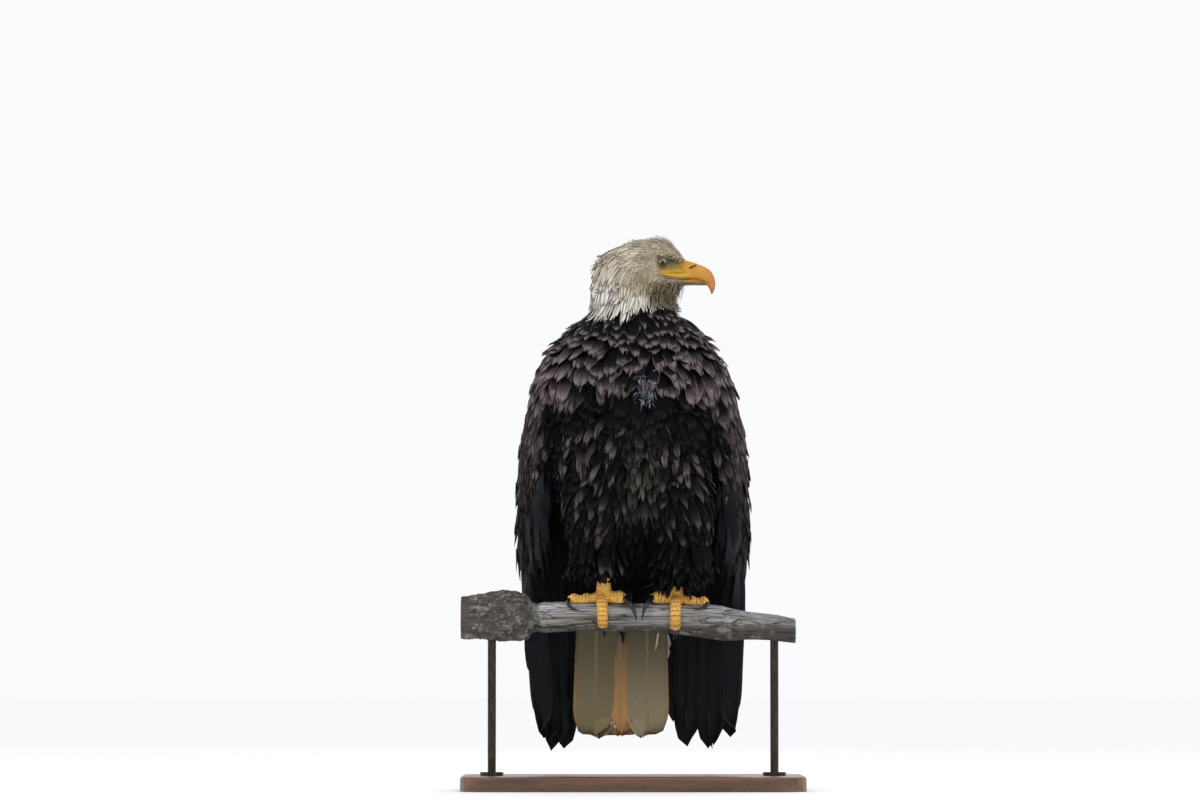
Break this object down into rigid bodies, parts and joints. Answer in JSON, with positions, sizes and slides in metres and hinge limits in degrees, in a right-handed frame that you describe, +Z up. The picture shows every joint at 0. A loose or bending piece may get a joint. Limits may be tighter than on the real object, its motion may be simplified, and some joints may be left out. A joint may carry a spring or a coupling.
{
  "type": "bald eagle display model",
  "caption": "Life-size still model of an adult bald eagle, white head turned in profile, wings folded, standing on a cut branch held by a flat display base with two rods",
  "frame": {"origin": "the middle of the underside of the display base, on the surface that it stands on", "axes": "+Z up, -Y the way the bird's breast faces, +X to the bird's left, which is also the way its bill points"},
  "size_m": [0.5, 0.2702, 0.8031],
  "materials": {
    "white_plumage": "soft overlapping feathers, matt",
    "brown_plumage": "soft overlapping feathers with paler edges, matt",
    "dark_plumage": "long flight feathers, slight sheen",
    "eye": "wet gloss",
    "bill_horn": "satin horn",
    "cere": "soft bare skin, satin",
    "foot_scales": "scaled bare skin, satin",
    "claw_horn": "glossy black horn",
    "weathered_wood": "bare grey weathered branch with bark left on its thick end",
    "walnut": "oiled walnut, satin",
    "dark_metal": "dark bronzed steel, satin"
  },
  "bodies": {
    "root": {"head": "white_plumage", "neck": "brown_plumage", "trunk": "brown_plumage", "thigh_left": "brown_plumage", "thigh_right": "brown_plumage", "wing_left": "dark_plumage", "wing_right": "dark_plumage", "tail": "white_plumage", "eye_left": "eye", "eye_right": "eye", "bill_upper": "bill_horn", "bill_lower": "bill_horn", "cere": "cere", "shank_left": "foot_scales", "shank_right": "foot_scales", "foot_left": "foot_scales", "foot_right": "foot_scales", "claw_left_middle": "claw_horn", "claw_left_outer": "claw_horn", "claw_left_inner": "claw_horn", "claw_left_hind": "claw_horn", "claw_right_middle": "claw_horn", "claw_right_outer": "claw_horn", "claw_right_inner": "claw_horn", "claw_right_hind": "claw_horn", "perch": "weathered_wood", "stand_base": "walnut", "stand_rod_left": "dark_metal", "stand_rod_right": "dark_metal"}
  },
  "joints": []
}
